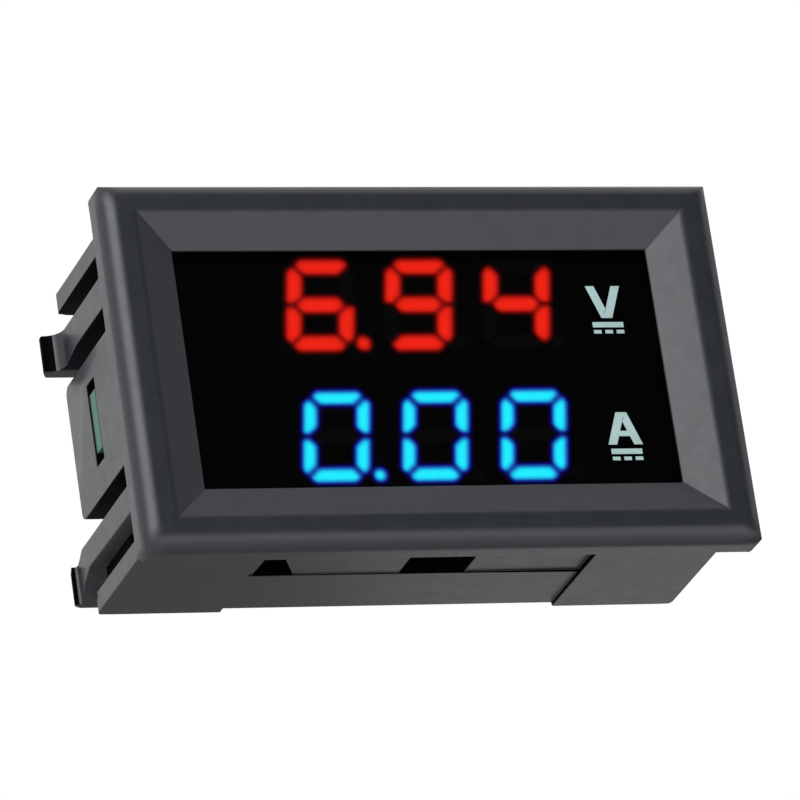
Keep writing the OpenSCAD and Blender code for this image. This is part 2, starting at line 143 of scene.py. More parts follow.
class BoardSettings(PropertyGroup):
    mask: colour("Solder mask", "Colour of the board's solder mask", (0.018, 0.12, 0.06))
    core: colour("Board core", "Colour of the board's cut edge", (0.075, 0.24, 0.16))
    track: colour("Track", "Colour of the mask over copper", (0.03, 0.2, 0.1))
    track_w: length("Track width", "Width of a copper track", 0.34 * MM)
    print_w: length("Print width", "Width of a printed line", 0.16 * MM)
    track_t: length("Track height", "Height of a track under the mask", 0.03 * MM)


class StageSettings(PropertyGroup):
    azimuth: angle("Azimuth", "How far the camera stands to the left", 20.94)
    elevation: angle("Elevation", "How far the camera stands above the middle", -21.53)
    roll: angle("Roll", "Turn of the camera about its line of sight", -8.57)
    distance: length("Distance", "Camera to the middle of the meter", 0.5959)
    shift_right: factor("Right", "Sideways place of the camera, as a share of the distance", 0.0028)
    shift_up: factor("Up", "Upward place of the camera, as a share of the distance", 0.0031)
    lens: factor("Lens", "Focal length in millimetres", 363.9, 1000)
    ambient: factor("Ambient", "Strength of the light from all round", 0.55, 2)
    key: factor("Key", "Power of the large soft lamp in watts", 0.67, 50)
    key_size: length("Key size", "Width of the large soft lamp", 0.3)
    key_away: place("Key place", "Where the large soft lamp stands", (-0.2, -0.252, 0.133))
    low: factor("Low", "Power of the low lamp behind, in watts", 0.003, 50)
    low_size: length("Low size", "Width of the low lamp", 0.05)
    low_away: place("Low place", "Low lamp, from the right lower edge", (0.026, 0.07, -0.031))
    floor_tint: colour("Floor", "Colour of the floor", (0.85, 0.85, 0.84))


# ---------------------------------------------------------------- meshes


def new_piece(name, verts, faces, material, smooth=False):
    """A mesh object of whole arrays, at the origin, that rides on the meter's body."""
    mesh = bpy.data.meshes.new(name)
    mesh.from_pydata(np.asarray(verts).tolist(), [], [list(f) for f in faces])
    mesh.update()
    mesh.polygons.foreach_set("use_smooth", np.full(len(mesh.polygons), smooth))
    mesh.materials.append(material)
    piece = bpy.data.objects.new(name, mesh)
    bpy.context.scene.collection.objects.link(piece)
    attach(piece, METER)
    return piece


def skin(rings):
    """Closed skin through equal rings: ring i joins ring i + 1, and both ends are capped.

    rings has the shape (stations, points, 3); the points run clockwise seen along the path.
    """
    count, around = rings.shape[:2]
    i, j = np.meshgrid(np.arange(count - 1), np.arange(around), indexing="ij")
    k = (j + 1) % around
    quads = np.stack(
        [i * around + j, i * around + k, (i + 1) * around + k, (i + 1) * around + j], -1
    ).reshape(-1, 4)
    caps = [np.arange(around)[::-1], np.arange(around) + (count - 1) * around]
    return rings.reshape(-1, 3), [*quads.tolist(), *[c.tolist() for c in caps]]


def bar(path, width, y_front, y_back, level_ends=False):
    """Flat bar along an (x, z) path.

    At each corner the two edges stand half the width off, along the corner's mitre. A level
    end is cut off along x, whatever the path's slope.
    """
    p = np.asarray(path, float)
    d = np.diff(p, axis=0)
    d /= np.linalg.norm(d, axis=1)[:, None]
    before = np.vstack([d[:1], d])
    mitre = before + np.vstack([d, d[-1:]])
    if level_ends:
        mitre[[0, -1], 0] = 0.0
    mitre /= np.linalg.norm(mitre, axis=1)[:, None]
    reach = (width / 2 / (mitre * before).sum(1))[:, None]
    side = np.stack([-mitre[:, 1], mitre[:, 0]], 1) * reach
    left, right = p + side, p - side
    ring = [(left, y_front), (right, y_front), (right, y_back), (left, y_back)]
    return skin(
        np.stack([np.stack([q[:, 0], np.full(len(q), y), q[:, 1]], 1) for q, y in ring], 1)
    )


def joined(parts):
    """Several (verts, faces) pairs as one pair."""
    verts = []
    faces = []
    for v, f in parts:
        start = sum(len(u) for u in verts)
        verts.append(np.asarray(v))
        faces += [[start + k for k in face] for face in f]
    return np.vstack(verts), faces


def ring_disc(x, z, inner, outer, y_low, y_high, count=20):
    """Flat ring about (x, z): its section, a small rectangle, is carried round a circle."""
    a = np.linspace(0, 2 * math.pi, count, endpoint=False)
    out = np.stack([np.cos(a), np.sin(a)], 1)
    section = [(inner, y_low), (outer, y_low), (outer, y_high), (inner, y_high)]
    rings = np.stack(
        [
            np.stack([x + r * out[:, 0], np.full(count, y), z + r * out[:, 1]], 1)
            for r, y in section
        ],
        1,
    )
    i, j = np.meshgrid(np.arange(count), np.arange(4), indexing="ij")
    n, k = (i + 1) % count, (j + 1) % 4
    quads = np.stack([i * 4 + k, n * 4 + k, n * 4 + j, i * 4 + j], -1).reshape(-1, 4)
    return rings.reshape(-1, 3), quads.tolist()


def merged_copy(node, name, material):
    """A node's mesh with its loose triangles joined and its flat faces made whole."""
    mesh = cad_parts[node].data.copy()
    mesh.name = name
    mesh.materials.clear()
    mesh.materials.append(material)
    bm = bmesh.new()
    bm.from_mesh(mesh)
    bmesh.ops.remove_doubles(bm, verts=bm.verts, dist=0.0005 * MM)
    bmesh.ops.dissolve_limit(
        bm, angle_limit=math.radians(0.4), verts=bm.verts, edges=bm.edges, delimit={"NORMAL"}
    )
    for face in bm.faces:
        face.material_index = 0
    bm.to_mesh(mesh)
    bm.free()
    piece = bpy.data.objects.new(name, mesh)
    bpy.context.scene.collection.objects.link(piece)
    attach(piece, METER)
    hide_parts(node)
    return piece


# ---------------------------------------------------------------- shader tools


def add(tree, kind, inputs=None, **settings):
    """A shader node. An input that is given a socket is linked to it."""
    made = tree.nodes.new(kind)
    for name, value in settings.items():
        setattr(made, name, value)
    for name, value in (inputs or {}).items():
        socket = made.inputs[name]
        if isinstance(value, bpy.types.NodeSocket):
            tree.links.new(value, socket)
        else:
            socket.default_value = value
    return made


def rgba(c):
    return (*c[:3], 1.0)


def maths(tree, operation, a, b=0.0, clamp=False):
    return add(tree, "ShaderNodeMath", {0: a, 1: b}, operation=operation, use_clamp=clamp).outputs[0]


def blend_colour(tree, fac, a, b, mode="MIX"):
    made = add(tree, "ShaderNodeMix", data_type="RGBA", blend_type=mode)
    for socket, value in ((made.inputs[0], fac), (made.inputs[6], a), (made.inputs[7], b)):
        if isinstance(value, bpy.types.NodeSocket):
            tree.links.new(value, socket)
        else:
            socket.default_value = value if isinstance(value, float) else rgba(value)
    return made.outputs[2]


def spread(tree, value, low, high, to_low=0.0, to_high=1.0, smooth=False):
    kind = "SMOOTHSTEP" if smooth else "LINEAR"
    inputs = {0: value, 1: low, 2: high, 3: to_low, 4: to_high}
    return add(tree, "ShaderNodeMapRange", inputs, interpolation_type=kind).outputs[0]


def effect(name, inputs, outputs):
    """A new shader node group with these named sockets: the tree, its inputs and its end."""
    tree = bpy.data.node_groups.new(name, "ShaderNodeTree")
    for label, kind, value in inputs:
        socket = tree.interface.new_socket(label, in_out="INPUT", socket_type="NodeSocket" + kind)
        if value is not None:
            socket.default_value = value
    for label, kind in outputs:
        tree.interface.new_socket(label, in_out="OUTPUT", socket_type="NodeSocket" + kind)
    start = tree.nodes.new("NodeGroupInput")
    end = tree.nodes.new("NodeGroupOutput")
    return tree, start.outputs, end.inputs


def use(tree, name, **values):
    """An effect placed in a material with its own values; underscores stand for spaces."""
    group = bpy.data.node_groups.get(name) or EFFECTS[name]()
    made = tree.nodes.new("ShaderNodeGroup")
    made.node_tree = group
    for label, value in values.items():
        socket = made.inputs[label.replace("_", " ")]
        if isinstance(value, bpy.types.NodeSocket):
            tree.links.new(value, socket)
        else:
            socket.default_value = rgba(value) if socket.type == "RGBA" else value
    return made.outputs


def object_place(tree):
    return add(tree, "ShaderNodeTexCoord").outputs["Object"]


def noise(tree, place_socket, scale, detail=2.0, rough=0.5):
    inputs = {"Vector": place_socket, "Scale": scale, "Detail": detail, "Roughness": rough}
    return add(tree, "ShaderNodeTexNoise", inputs).outputs["Fac"]


def moulded_surface():
    """Fine spark-eroded grain with faint flow clouds and rub marks: colour, roughness, height."""
    tree, ins, outs = effect(
        "moulded_surface",
        [("Colour", "Color", None), ("Roughness", "Float", 0.4), ("Grain size", "Float", 5200.0)],
        [("Colour", "Color"), ("Roughness", "Float"), ("Height", "Float")],
    )
    at = object_place(tree)
    fine = noise(tree, at, ins["Grain size"], 3.0, 0.6)
    clouds = noise(tree, at, 160.0, 4.0, 0.55)
    rub = noise(tree, at, 900.0, 5.0, 0.7)
    level = spread(tree, clouds, 0.3, 0.7, 0.93, 1.07)
    speck = spread(tree, fine, 0.3, 0.7, 0.94, 1.06)
    shade = maths(tree, "MULTIPLY", level, speck)
    grey = add(tree, "ShaderNodeCombineColor", {0: shade, 1: shade, 2: shade}).outputs[0]
    tree.links.new(blend_colour(tree, 1.0, ins["Colour"], grey, "MULTIPLY"), outs["Colour"])
    worn = spread(tree, rub, 0.35, 0.7, 0.04, -0.04)
    rough = maths(tree, "ADD", maths(tree, "ADD", ins["Roughness"], worn), 0.0, clamp=True)
    tree.links.new(rough, outs["Roughness"])
    tree.links.new(fine, outs["Height"])
    return tree


def metal_surface():
    """Drawn or dipped metal: long soft streaks with dull spots: colour, roughness, height."""
    tree, ins, outs = effect(
        "metal_surface",
        [("Colour", "Color", None), ("Dull", "Color", None), ("Roughness", "Float", 0.25)],
        [("Colour", "Color"), ("Roughness", "Float"), ("Height", "Float")],
    )
    at = object_place(tree)
    spots = noise(tree, at, 1400.0, 5.0, 0.65)
    waves = noise(tree, at, 4200.0, 2.0, 0.5)
    dull = spread(tree, spots, 0.42, 0.68, 0.0, 1.0, smooth=True)
    tree.links.new(blend_colour(tree, dull, ins["Colour"], ins["Dull"]), outs["Colour"])
    tree.links.new(
        maths(tree, "ADD", ins["Roughness"], maths(tree, "MULTIPLY", dull, 0.22)),
        outs["Roughness"],
    )
    tree.links.new(waves, outs["Height"])
    return tree


def light_fall():
    """Light of a segment: each colour part is the peak times the amount to its own power.

    From and To bound the amount, so that a segment and the glow round it share one curve.
    """
    tree, ins, outs = effect(
        "light_fall",
        [
            ("Amount", "Float", 1.0),
            ("Peak", "Color", None),
            ("Fall", "Vector", None),
            ("From", "Float", 0.0),
            ("To", "Float", 1.0),
        ],
        [("Colour", "Color")],
    )
    fine = noise(tree, object_place(tree), 2600.0, 2.0, 0.5)
    level = spread(tree, fine, 0.3, 0.7, 0.97, 1.03)
    capped = maths(tree, "MINIMUM", maths(tree, "MAXIMUM", ins["Amount"], ins["From"]), ins["To"])
    fall = add(tree, "ShaderNodeSeparateXYZ", {0: ins["Fall"]}).outputs
    peak = add(tree, "ShaderNodeSeparateColor", {0: ins["Peak"]}).outputs
    parts = []
    for axis in range(3):
        here = maths(tree, "POWER", capped, fall[axis])
        less = maths(tree, "POWER", ins["From"], fall[axis])
        bright = maths(tree, "MULTIPLY", maths(tree, "SUBTRACT", here, less), peak[axis])
        parts.append(maths(tree, "MULTIPLY", bright, level))
    mixed = add(tree, "ShaderNodeCombineColor", dict(enumerate(parts))).outputs[0]
    tree.links.new(mixed, outs["Colour"])
    return tree


def mould_flow():
    """Small dark specks and a soft tone change, for cast ceramic, epoxy and board resin."""
    tree, ins, outs = effect(
        "mould_flow",
        [("Colour", "Color", None), ("Speck", "Color", None), ("Size", "Float", 3000.0)],
        [("Colour", "Color"), ("Height", "Float")],
    )
    at = object_place(tree)
    speck = noise(tree, at, ins["Size"], 3.0, 0.6)
    tone = noise(tree, at, 350.0, 3.0, 0.5)
    mask = spread(tree, speck, 0.52, 0.72, 0.0, 1.0, smooth=True)
    mixed = blend_colour(tree, mask, ins["Colour"], ins["Speck"])
    level = spread(tree, tone, 0.3, 0.7, 0.9, 1.08)
    grey = add(tree, "ShaderNodeCombineColor", {0: level, 1: level, 2: level}).outputs[0]
    tree.links.new(blend_colour(tree, 1.0, mixed, grey, "MULTIPLY"), outs["Colour"])
    tree.links.new(speck, outs["Height"])
    return tree


EFFECTS = {
    "moulded_surface": moulded_surface,
    "metal_surface": metal_surface,
    "light_fall": light_fall,
    "mould_flow": mould_flow,
}


def material(name):
    """An empty material with its Principled shader: the material, its tree and the shader."""
    made = bpy.data.materials.new(name)
    made.use_nodes = True
    tree = made.node_tree
    tree.nodes.clear()
    shader = tree.nodes.new("ShaderNodeBsdfPrincipled")
    end = tree.nodes.new("ShaderNodeOutputMaterial")
    tree.links.new(shader.outputs[0], end.inputs["Surface"])
    return made, tree, shader


def feed(tree, shader, **sockets):
    """Links or sets the shader's sockets by name; underscores stand for spaces."""
    for label, value in sockets.items():
        socket = shader.inputs[label.replace("_", " ")]
        if isinstance(value, bpy.types.NodeSocket):
            tree.links.new(value, socket)
        else:
            socket.default_value = rgba(value) if socket.type == "RGBA" else value


def bumped(tree, shader, height, distance, strength=1.0):
    inputs = {"Height": height, "Distance": distance, "Strength": strength}
    tree.links.new(add(tree, "ShaderNodeBump", inputs).outputs[0], shader.inputs["Normal"])


def plastic(name, tint, roughness, grain=0.003 * MM, grain_size=5200.0):
    made, tree, shader = material(name)
    s = use(tree, "moulded_surface", Colour=tint, Roughness=roughness, Grain_size=grain_size)
    feed(tree, shader, Base_Color=s["Colour"], Roughness=s["Roughness"], IOR=1.5)
    bumped(tree, shader, s["Height"], grain)
    return made


def metal(name, tint, dull, roughness):
    made, tree, shader = material(name)
    s = use(tree, "metal_surface", Colour=tint, Dull=dull, Roughness=roughness)
    feed(tree, shader, Base_Color=s["Colour"], Roughness=s["Roughness"], Metallic=1.0)
    bumped(tree, shader, s["Height"], 0.006 * MM)
    return made


def cast(name, tint, speck, roughness, size=3000.0, coat=0.0):
    made, tree, shader = material(name)
    s = use(tree, "mould_flow", Colour=tint, Speck=speck, Size=size)
    feed(tree, shader, Base_Color=s["Colour"], Roughness=roughness, Coat_Weight=coat)
    bumped(tree, shader, s["Height"], 0.005 * MM)
    return made


def dress(material_made, slot, *nodes):
    """Gives CAD nodes their finish."""
    for node in nodes:
        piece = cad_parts[node]
        piece.data.materials.clear()
        piece.data.materials.append(material_made)


# ---------------------------------------------------------------- glow

# a segment's own light starts at this share; the glow round it ends there
EDGE_LEVEL = 0.5


def lit_mask(node, cell=0.07 * MM):
    """Grid over a node's front faces: 1 where a lit face covers the grid point.

    A point lies in a triangle when the three edge products share one sign.
    """
    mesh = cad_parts[node].data
    mesh.calc_loop_triangles()
    co = np.zeros(len(mesh.vertices) * 3)
    mesh.vertices.foreach_get("co", co)
    co = co.reshape(-1, 3)
    tri = np.zeros(len(mesh.loop_triangles) * 3, int)
    mesh.loop_triangles.foreach_get("vertices", tri)
    corners = co[tri.reshape(-1, 3)]
    front = (corners[:, :, 1] < co[:, 1].min() + 0.01 * MM).all(1)
    a, b, c = np.moveaxis(corners[front][:, :, [0, 2]], 1, 0)
    low = co[:, [0, 2]].min(0) - 2 * cell
    high = co[:, [0, 2]].max(0) + 2 * cell
    x = np.arange(low[0], high[0], cell)
    z = np.arange(low[1], high[1], cell)
    p = np.stack(np.meshgrid(x, z), -1).reshape(-1, 1, 2)

    def edge(m, n):
        return (n[:, 0] - m[:, 0]) * (p[..., 1] - m[:, 1]) - (n[:, 1] - m[:, 1]) * (
            p[..., 0] - m[:, 0]
        )

    s = np.stack([edge(a, b), edge(b, c), edge(c, a)])
    inside = ((s >= 0).all(0) | (s <= 0).all(0)).any(1)
    return x, z, inside.reshape(len(z), len(x)).astype(float)


def glow_at(points, mask, reach):
    """Share of lit surface round each (x, z) point, weighted by a Gaussian of this reach."""
    x, z, lit = mask
    wx = np.exp(-0.5 * ((points[:, :1] - x) / reach) ** 2)
    wz = np.exp(-0.5 * ((points[:, 1:] - z) / reach) ** 2)
    total = (2 * math.pi * reach**2) / ((x[1] - x[0]) * (z[1] - z[0]))
    return ((wz @ lit) * wx).sum(1) / total


def set_values(mesh, name, values):
    """Writes one number for each vertex into a named attribute."""
    made = mesh.attributes.new(name, "FLOAT", "POINT")
    made.data.foreach_set("value", np.asarray(values, np.float32))


def vertex_xz(mesh):
    co = np.zeros(len(mesh.vertices) * 3)
    mesh.vertices.foreach_get("co", co)
    return co.reshape(-1, 3)[:, [0, 2]]


def cut_in_cells(mesh, cell):
    """Cuts a mesh along evenly spaced planes in x and z, so that a value can change over it."""
    at = vertex_xz(mesh)
    bm = bmesh.new()
    bm.from_mesh(mesh)
    for axis, column in ((0, 0), (2, 1)):
        normal = [0.0, 0.0, 0.0]
        normal[axis] = 1.0
        for place_on_axis in np.arange(at[:, column].min() + cell / 2, at[:, column].max(), cell):
            point = [0.0, 0.0, 0.0]
            point[axis] = place_on_axis
            everything = [*bm.verts, *bm.edges, *bm.faces]
            bmesh.ops.bisect_plane(bm, geom=everything, plane_co=point, plane_no=normal)
    bm.to_mesh(mesh)
    bm.free()


# ---------------------------------------------------------------- pieces


# an edge is rounded when it bends by more than this and is longer than this
SHARP_BEND = math.radians(18)
SHORTEST_ROUNDED = 0.35 * MM
# edges behind this depth and farther than this from mid height stay sharp
REAR_DEPTH = 13.9 * MM
REAR_HEIGHT = 11.4 * MM
# the soft shading of the bezel's corners ends this far in front of the panel plane
CORNER_DEPTH = 0.9 * MM
# millimetres that tell the housing's faces apart: heights and widths count from the middle
BEHIND_BEZEL = 0.05
RELIEF_HEIGHT = 12.3
END_WALL_INSIDE = 21.0
LOWER_CLAW_TOP = -8.5
CLAW_TIP_WIDTH, CLAW_TIP_DEPTH = 22.97, 14.1
RELIEF_STEP = (12.6, 13.6)
CHANNEL_END = (7.0, 9.0)
# the painted shade and painted light finishes change colour between these depths
PAINTED_SHADE_DEPTHS = (10.0 * MM, 15.0 * MM)
# a web's box in millimetres: width from the middle, height, and its rear end; each web is a dark sheet
# of painted shade
WEB_X, WEB_Z, WEB_REAR = (21.05, 21.5), (-11.75, -9.12), 14.45


class METER_OT_housing(Operator):
    """Makes the moulded housing with softly rounded edges and a fine grain, with painted shade on its
    inner and recessed faces and painted light under its lower claws
    """

    bl_idname = "panel_meter.housing"
    bl_label = "Housing"

    def execute(self, context):
        s = context.scene.meter_housing
        finish = plastic("housing_abs", s.tint, s.roughness, s.grain)
        piece = merged_copy("housing", "housing_moulding", finish)
        mesh = piece.data
        # painted light and shade on one moulding: faces inside get painted shade that lightens towards
        # the rear, claw tips, relief steps and the webs get painted deep shade, and the lower claws'
        # undersides and the ledge get painted light
        painted_shade_rear = [0.7 * c for c in s.tint]
        inside = self.painted_light_and_shade(s, "housing_painted_shade_inside", s.shade, painted_shade_rear, 0.04)
        painted_deep_shade = self.painted_light_and_shade(s, "housing_painted_deep_shade", s.shade, s.shade, 0.02)
        under = self.painted_light_and_shade(s, "housing_painted_light_underside", s.under, s.painted_light_under_rear, 0.2)
        for made in (inside, painted_deep_shade, under):
            mesh.materials.append(made)
        mesh.polygons.foreach_set("material_index", self.painted_light_and_shade_numbers(mesh))
        self.painted_shade_webs(painted_deep_shade)
        bm = bmesh.new()
        bm.from_mesh(mesh)
        weight = bm.edges.layers.float.new("bevel_weight_edge")
        low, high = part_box("housing")
        reach = Vector((high.x - s.corner, 0, high.z - s.corner))
        self.cut_corners(bm, reach)
        for edge in bm.edges:
            sharp = edge.is_manifold and edge.calc_face_angle(0.0) > SHARP_BEND
            at = [v.co for v in edge.verts]
            corner = all(
                c.y < -CORNER_DEPTH and abs(c.x) > reach.x and abs(c.z) > reach.z for c in at
            )
            rear = all(c.y > REAR_DEPTH and abs(c.z) > REAR_HEIGHT for c in at)
            soft = sharp and edge.calc_length() > SHORTEST_ROUNDED and not rear and not corner
            in_front = all(c.y < low.y + 0.05 * MM for c in at)
            edge[weight] = float(soft) * (1.0 if in_front else s.fine_edge)
            edge.smooth = corner or soft or not sharp
        bm.to_mesh(mesh)
        bm.free()
        mesh.polygons.foreach_set("use_smooth", np.ones(len(mesh.polygons), bool))
        rounding = piece.modifiers.new("edges", "BEVEL")
        rounding.width = s.edge
        rounding.segments = 2
        rounding.limit_method = "WEIGHT"
        rounding.use_clamp_overlap = False
        flats = piece.modifiers.new("flats", "WEIGHTED_NORMAL")
        flats.weight = 100
        flats.keep_sharp = True
        return {"FINISHED"}

    def cut_corners(self, bm, reach):
        """Cuts the bezel's rounded rim across near each corner, so that only its end is shaded."""
        for axis, sign in ((0, 1), (0, -1), (2, 1), (2, -1)):
            point = Vector((0, 0, 0))
            point[axis] = sign * (reach[axis] - 0.05 * MM)
            normal = Vector((0, 0, 0))
            normal[axis] = 1
            faces = []
            for face in bm.faces:
                c = face.calc_center_median()
                outer = abs(c.x) > reach.x or abs(c.z) > reach.z
                if c.y < -0.3 * MM and outer and face.normal.y > -0.999:
                    faces.append(face)
            edges = {edge for face in faces for edge in face.edges}
            verts = {vert for face in faces for vert in face.verts}
            bmesh.ops.bisect_plane(
                bm, geom=[*faces, *edges, *verts], plane_co=point, plane_no=normal, dist=1e-7
            )

    def painted_light_and_shade_numbers(self, mesh):
        """The finish of each face: 0 outside, 1 painted shade inside, 2 painted deep shade in recesses,
        3 painted light under a claw or on a ledge.

        Inside are the faces behind the bezel and between the outer walls, but not their rear ends.
        Recessed are the claw tips' outer faces and the steps beside the wall reliefs. The ledge is where
        the walls' channel ends. The moulding is one colour: these numbers paint its light and shade by
        face.
        """
        count = len(mesh.polygons)
        centre, normal = np.zeros(count * 3), np.zeros(count * 3)
        mesh.polygons.foreach_get("center", centre)
        mesh.polygons.foreach_get("normal", normal)
        centre, normal = centre.reshape(-1, 3) / MM, normal.reshape(-1, 3)
        x, z = np.abs(centre[:, 0]), np.abs(centre[:, 2])
        y, low = centre[:, 1], centre[:, 2] < LOWER_CLAW_TOP
        outward = normal[:, 0] * np.sign(centre[:, 0])
        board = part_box("circuit_board")[1] / MM
        between = (y > BEHIND_BEZEL) & (z < RELIEF_HEIGHT)
        inside = between & (x < board.x + 0.05) & (normal[:, 1] < 0.5)
        under = between & low & (normal[:, 2] < -0.5) & (x > END_WALL_INSIDE)
        tip = (x > CLAW_TIP_WIDTH) & (y > CLAW_TIP_DEPTH)
        claw = tip & ((normal[:, 1] < -0.85) | (outward > 0.9))
        outer = z > RELIEF_HEIGHT
        step = outer & (x > RELIEF_STEP[0]) & (x < RELIEF_STEP[1]) & (outward < -0.7) & (y > 1.0)
        ledge = outer & (normal[:, 1] < -0.7) & (y > CHANNEL_END[0]) & (y < CHANNEL_END[1])
        # painted light under the claws and on the ledge, painted deep shade on claw tips and steps,
        # painted shade inside
        return np.select([under | ledge, claw | step, inside], [3, 2, 1], 0)

    def painted_light_and_shade(self, s, name, front, rear, gloss):
        """A finish of painted shade or painted light for faces inside, in recesses or under the claws:
        its colour runs from the front to the rear.
        """
        made, tree, shader = material(name)
        depth = add(tree, "ShaderNodeSeparateXYZ", {0: object_place(tree)}).outputs["Y"]
        share = spread(tree, depth, *PAINTED_SHADE_DEPTHS, smooth=True)
        surface = use(tree, "moulded_surface", Colour=(1.0, 1.0, 1.0), Roughness=0.6)
        mixed = blend_colour(tree, share, front, rear)
        feed(
            tree,
            shader,
            Base_Color=blend_colour(tree, 1.0, mixed, surface["Colour"], "MULTIPLY"),
            Roughness=surface["Roughness"],
        )
        shader.inputs["Specular IOR Level"].default_value = gloss
        bumped(tree, shader, surface["Height"], s.grain)
        return made

    def painted_shade_webs(self, finish):
        """A thin web at each end that closes the slot between the lower claw and the lower wall: a dark
        sheet in the painted deep shade finish, standing in for shade.
        """
        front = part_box("circuit_board")[1].y / MM - 1.7
        (low, high), rear = WEB_Z, WEB_REAR
        ring = np.array([(0, front, low), (0, rear, low), (0, rear, high), (0, front, high)])
        parts = []
        for side in (-1, 1):
            ends = sorted(side * x for x in WEB_X)
            parts.append(skin(np.stack([ring + [x, 0, 0] for x in ends]) * MM))
        piece = new_piece("end_painted_shade_webs", *joined(parts), finish)


class METER_OT_segments(Operator):
    """Makes the lit segments of both rows, brighter in the middle than at the ends"""

    bl_idname = "panel_meter.segments"
    bl_label = "Segments"

    def execute(self, context):
        s = context.scene.meter_display
        rows = (
            ("volts_segments_lit", "volts_light", s.red, s.red_fall, "red_lit"),
            ("amps_segments_lit", "amps_light", s.blue, s.blue_fall, "blue_lit"),
        )
        for node, name, peak, fall, slot in rows:
            finish, tree, shader = material(name)
            near = add(tree, "ShaderNodeAttribute", attribute_name="near").outputs["Fac"]
            light = use(tree, "light_fall", Amount=near, Peak=peak, Fall=fall, From=EDGE_LEVEL)
            feed(
                tree,
                shader,
                Base_Color=(0.02, 0.02, 0.02),
                Roughness=0.5,
                Emission_Color=light["Colour"],
                Emission_Strength=1.0 / (1.0 - s.smoke) ** 2,
            )
            piece = merged_copy(node, name, finish)
            cut_in_cells(piece.data, 0.14 * MM)
            set_values(piece.data, "near", glow_at(vertex_xz(piece.data), lit_mask(node), s.spread))
        off = plastic("segment_off", (0.035, 0.035, 0.038), 0.45, 0.002 * MM)
        dress(off, "segment_unlit", "volts_segments_unlit", "amps_segments_unlit")
        return {"FINISHED"}


class METER_OT_window(Operator):
    """Makes the smoked filter, whose rear holds the glow that spreads from the lit rows"""

    bl_idname = "panel_meter.window"
    bl_label = "Window filter"

    def execute(self, context):
        s = context.scene.meter_display
        low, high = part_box("window_filter")
        across, upright = 300, 160
        x, z = np.meshgrid(
            np.linspace(low.x, high.x, across), np.linspace(low.z, high.z, upright)
        )
        back = np.stack([x, np.full_like(x, high.y), z], -1)
        ids = np.arange(x.size).reshape(x.shape)
        quads = np.stack([ids[:-1, :-1], ids[1:, :-1], ids[1:, 1:], ids[:-1, 1:]], -1)
        rim = np.concatenate([ids[0, :-1], ids[:-1, -1], ids[-1, :0:-1], ids[:0:-1, 0]])
        front = back.reshape(-1, 3)[rim] - [0, high.y - low.y, 0]
        before = x.size + np.arange(len(rim))
        walls = np.stack([before, rim, np.roll(rim, -1), np.roll(before, -1)], -1)
        faces = [*quads.reshape(-1, 4).tolist(), *walls.tolist(), before.tolist()]
        finish, tree, shader = material("smoked_filter")
        glows = []
        for name, peak, fall in (("red_near", s.red, s.red_fall), ("blue_near", s.blue, s.blue_fall)):
            near = add(tree, "ShaderNodeAttribute", attribute_name=name).outputs["Fac"]
            glows.append(
                use(tree, "light_fall", Amount=near, Peak=peak, Fall=fall, To=EDGE_LEVEL)["Colour"]
            )
        surface = use(tree, "moulded_surface", Colour=(0.0008,) * 3, Roughness=0.06, Grain_size=900.0)
        feed(
            tree,
            shader,
            Base_Color=surface["Colour"],
            Roughness=surface["Roughness"],
            IOR=1.46,
            Alpha=s.smoke,
            Emission_Color=blend_colour(tree, 1.0, glows[0], glows[1], "ADD"),
            Emission_Strength=1.0 / s.smoke / (1.0 - s.smoke),
        )
        shader.inputs["Specular IOR Level"].default_value = 0.03
        piece = new_piece(
            "smoked_window", np.vstack([back.reshape(-1, 3), front]), faces, finish
        )
        at = vertex_xz(piece.data)
        behind = np.arange(len(at)) < x.size
        for name, node in (("red_near", "volts_segments_lit"), ("blue_near", "amps_segments_lit")):
            set_values(piece.data, name, glow_at(at, lit_mask(node), s.spread) * behind)
        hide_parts("window_filter")
        return {"FINISHED"}


class METER_OT_marks(Operator):
    """Prints the unit marks on the window: V and A, each over a line and a dashed line"""

    bl_idname = "panel_meter.marks"
    bl_label = "Unit marks"

    def execute(self, context):
        s = context.scene.meter_display
        finish, tree, shader = material("mark_print")
        ink = use(tree, "mould_flow", Colour=s.mark, Speck=[0.85 * c for c in s.mark], Size=5000.0)
        feed(tree, shader, Base_Color=ink["Colour"], Roughness=0.5)
        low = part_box("window_filter")[0]
        front, back = low.y - 0.03 * MM, low.y + 0.005 * MM
        step_up = 0.004 * MM
        rows = (("volts_mark", 14.72 * MM, 6.52 * MM), ("amps_mark", 14.6 * MM, -3.68 * MM))
        for name, x, top in rows:
            foot = top - s.mark_h
            volts = name == "volts_mark"
            wide, narrow = 1.02 * MM, 0.2 * MM
            outer, inner = (top, foot + s.stroke * 0.5) if volts else (foot, top - s.stroke * 0.5)
            legs = [(x - wide, outer), (x - narrow, inner), (x + narrow, inner), (x + wide, outer)]
            lines = [(legs, s.stroke)]
            if not volts:
                rung = foot + 0.88 * MM
                lines.append(([(x - 0.62 * MM, rung), (x + 0.62 * MM, rung)], 0.42 * MM))
            under, half_line, thick = foot - 0.55 * MM, 1.22 * MM, 0.42 * MM
            lines.append(([(x - half_line, under), (x + half_line, under)], thick))
            dashes, apart, half_dash, thin = under - 0.57 * MM, 0.9 * MM, 0.3 * MM, 0.28 * MM
            for at in (x - apart, x, x + apart):
                lines.append(([(at - half_dash, dashes), (at + half_dash, dashes)], thin))
            parts = [
                bar(path, width, front - k * step_up, back, len(path) > 2)
                for k, (path, width) in enumerate(lines)
            ]
            piece = new_piece(name, *joined(parts), finish)
        return {"FINISHED"}


